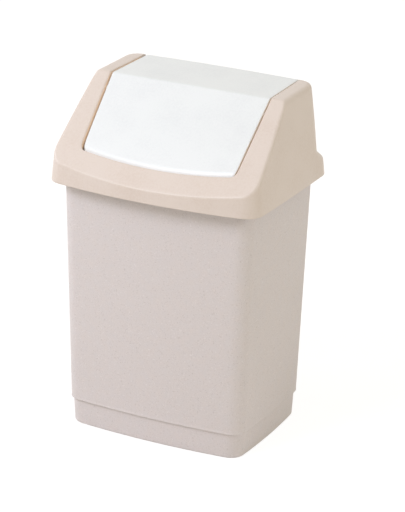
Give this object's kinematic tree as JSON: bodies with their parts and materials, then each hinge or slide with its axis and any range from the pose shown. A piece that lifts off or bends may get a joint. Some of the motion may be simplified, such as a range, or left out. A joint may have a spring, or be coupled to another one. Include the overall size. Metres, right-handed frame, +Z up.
{
  "type": "swing-lid waste bin",
  "caption": "Free-standing plastic waste bin: a tapered speckled bucket under a sloping lift-off hood, whose bent white flap swings inwards for dropping in waste.",
  "frame": {"origin": "middle of the bin's footprint box, on the floor", "axes": "+Z up; -Y is the front, towards the sloping face; +X is to the right seen from the front"},
  "size_m": [0.342, 0.276, 0.5305],
  "materials": {
    "speckled_plastic": "satin, finely speckled polypropylene",
    "beige_plastic": "satin moulded polypropylene",
    "white_plastic": "satin moulded polypropylene"
  },
  "bodies": {
    "bucket": {"bucket": "speckled_plastic"},
    "hood": {"hood": "beige_plastic"},
    "flap": {"flap": "white_plastic"}
  },
  "joints": [
    {"name": "hood_lift", "type": "slide", "parent": "bucket", "child": "hood", "axis": [0, 0, 1], "range_m": [0, 0.15]},
    {"name": "flap_swing", "type": "hinge", "parent": "hood", "child": "flap", "pos_m": [0, -0.01333, 0.50628], "axis": [1, 0, 0], "range_deg": [0, 75]}
  ]
}
